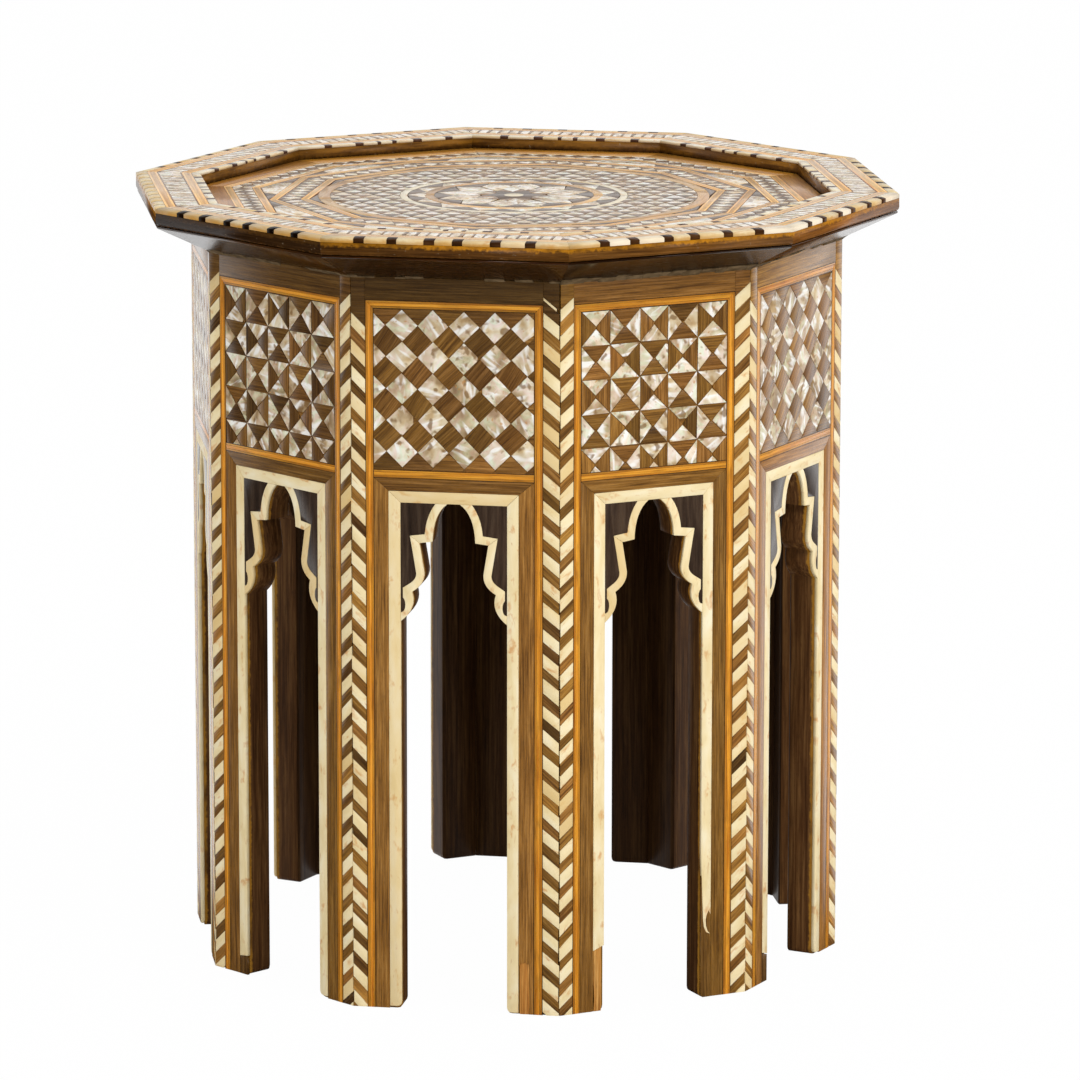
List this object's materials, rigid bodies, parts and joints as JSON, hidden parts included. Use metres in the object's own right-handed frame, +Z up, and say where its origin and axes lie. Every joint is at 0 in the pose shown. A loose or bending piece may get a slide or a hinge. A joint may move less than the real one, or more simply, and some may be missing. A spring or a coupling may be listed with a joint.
{
  "type": "inlaid tray-top side table",
  "caption": "Ten-sided inlaid tray table: arched board carcass, sloping cornice, raised rim, bone and mother-of-pearl marquetry.",
  "frame": {"origin": "centre of the ten-sided footprint, on the floor under the feet", "axes": "+Z up along the table's axis; one side faces -Y and the corners between +X neighbours lie on X"},
  "size_m": [0.5026, 0.478, 0.5],
  "materials": {
    "dark_walnut": "satin varnish",
    "walnut": "gloss varnish",
    "amber_wood": "gloss varnish",
    "ebony": "gloss varnish",
    "bone": "polished",
    "pearl": "polished"
  },
  "bodies": {
    "root": {"side_panel_01": "dark_walnut", "side_panel_02": "dark_walnut", "side_panel_03": "dark_walnut", "side_panel_04": "dark_walnut", "side_panel_05": "dark_walnut", "side_panel_06": "dark_walnut", "side_panel_07": "dark_walnut", "side_panel_08": "dark_walnut", "side_panel_09": "dark_walnut", "side_panel_10": "dark_walnut", "bone_arch_01": "bone", "bone_arch_02": "bone", "bone_arch_03": "bone", "bone_arch_04": "bone", "bone_arch_05": "bone", "bone_arch_06": "bone", "bone_arch_07": "bone", "bone_arch_08": "bone", "bone_arch_09": "bone", "bone_arch_10": "bone", "mosaic_panel_01": "pearl", "mosaic_panel_02": "pearl", "mosaic_panel_03": "pearl", "mosaic_panel_04": "pearl", "mosaic_panel_05": "pearl", "mosaic_panel_06": "pearl", "mosaic_panel_07": "pearl", "mosaic_panel_08": "pearl", "mosaic_panel_09": "pearl", "mosaic_panel_10": "pearl", "cornice_moulding_01": "walnut", "cornice_moulding_02": "walnut", "cornice_moulding_03": "walnut", "cornice_moulding_04": "walnut", "cornice_moulding_05": "walnut", "cornice_moulding_06": "walnut", "cornice_moulding_07": "walnut", "cornice_moulding_08": "walnut", "cornice_moulding_09": "walnut", "cornice_moulding_10": "walnut", "rim_segment_01": "walnut", "rim_segment_02": "walnut", "rim_segment_03": "walnut", "rim_segment_04": "walnut", "rim_segment_05": "walnut", "rim_segment_06": "walnut", "rim_segment_07": "walnut", "rim_segment_08": "walnut", "rim_segment_09": "walnut", "rim_segment_10": "walnut", "rim_bone_edging": "bone", "rim_bone_lip": "bone", "rim_pearl_band": "pearl", "rim_outer_stringing": "amber_wood", "rim_inner_stringing": "amber_wood", "top_board": "dark_walnut", "tray_panel": "walnut", "tray_outer_stringing": "amber_wood", "tray_turned_stringing": "amber_wood", "tray_circle_ring": "amber_wood"}
  },
  "joints": []
}
